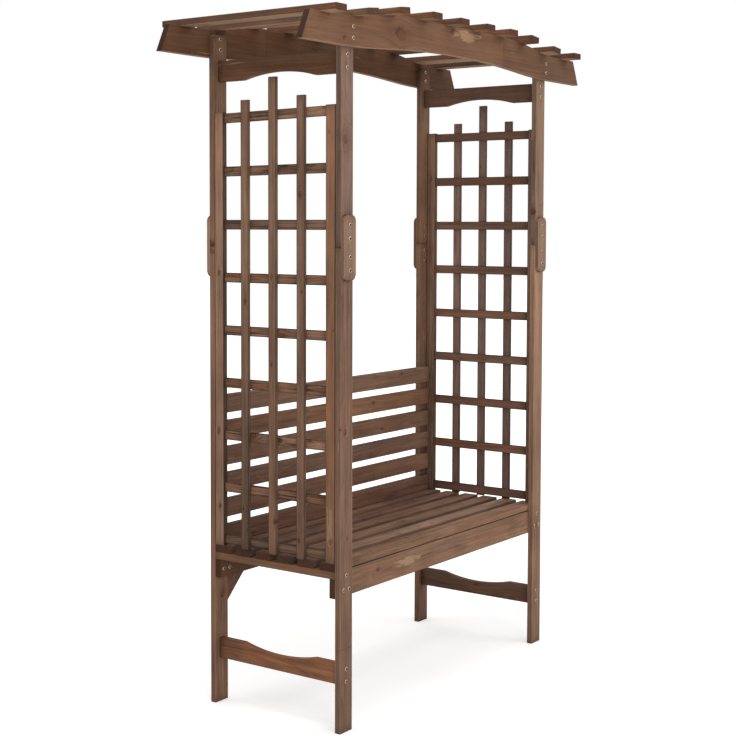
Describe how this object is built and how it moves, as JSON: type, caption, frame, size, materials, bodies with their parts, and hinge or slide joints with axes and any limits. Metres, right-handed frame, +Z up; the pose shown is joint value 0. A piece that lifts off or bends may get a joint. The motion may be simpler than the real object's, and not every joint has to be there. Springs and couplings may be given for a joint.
{
  "type": "arbour seat",
  "caption": "Garden arbour seat in stained softwood: slatted bench and backrest between two trellis ends under a shallow arched slat roof on curved beams.",
  "frame": {"origin": "on the ground, at the middle of the footprint", "axes": "+X along the bench from the left end to the right end as seen from the front, -Y towards the open front, +Z up"},
  "size_m": [1.526, 0.616, 2.012],
  "materials": {
    "frame_timber": "planed softwood, brown stained, matt, knots and streaks",
    "slat_timber": "planed softwood, brown stained, matt",
    "trellis_timber": "planed softwood laths, brown stained, matt",
    "roof_timber": "planed softwood, brown stained, matt",
    "screw_steel": "bright plated steel"
  },
  "bodies": {
    "root": {"backrest_slat_1": "slat_timber", "backrest_slat_2": "slat_timber", "backrest_slat_3": "slat_timber", "backrest_slat_4": "slat_timber", "backrest_slat_5": "slat_timber", "backrest_slat_6": "slat_timber", "corner_brace_left": "frame_timber", "corner_brace_right": "frame_timber", "frame_screws": "screw_steel", "post_lower_back_left": "frame_timber", "post_lower_back_right": "frame_timber", "post_lower_front_left": "frame_timber", "post_lower_front_right": "frame_timber", "post_upper_back_left": "frame_timber", "post_upper_back_right": "frame_timber", "post_upper_front_left": "frame_timber", "post_upper_front_right": "frame_timber", "roof_beam_back": "roof_timber", "roof_beam_front": "roof_timber", "roof_beam_screws": "screw_steel", "roof_slat_01": "roof_timber", "roof_slat_02": "roof_timber", "roof_slat_03": "roof_timber", "roof_slat_04": "roof_timber", "roof_slat_05": "roof_timber", "roof_slat_06": "roof_timber", "roof_slat_07": "roof_timber", "roof_slat_08": "roof_timber", "roof_slat_09": "roof_timber", "roof_slat_10": "roof_timber", "seat_apron_front": "frame_timber", "seat_bearer_left": "frame_timber", "seat_bearer_middle": "frame_timber", "seat_bearer_right": "frame_timber", "seat_rail_back": "frame_timber", "seat_slat_1": "slat_timber", "seat_slat_2": "slat_timber", "seat_slat_3": "slat_timber", "seat_slat_4": "slat_timber", "seat_slat_5": "slat_timber", "seat_slat_6": "slat_timber", "side_rail_top_left": "frame_timber", "side_rail_top_right": "frame_timber", "side_stretcher_left": "frame_timber", "side_stretcher_right": "frame_timber", "splice_plate_back_left": "frame_timber", "splice_plate_back_right": "frame_timber", "splice_plate_front_left": "frame_timber", "splice_plate_front_right": "frame_timber", "splice_screws": "screw_steel", "trellis_left_rails": "trellis_timber", "trellis_left_stile_back": "trellis_timber", "trellis_left_stile_front": "trellis_timber", "trellis_left_uprights": "trellis_timber", "trellis_right_rails": "trellis_timber", "trellis_right_stile_back": "trellis_timber", "trellis_right_stile_front": "trellis_timber", "trellis_right_uprights": "trellis_timber"}
  },
  "joints": []
}
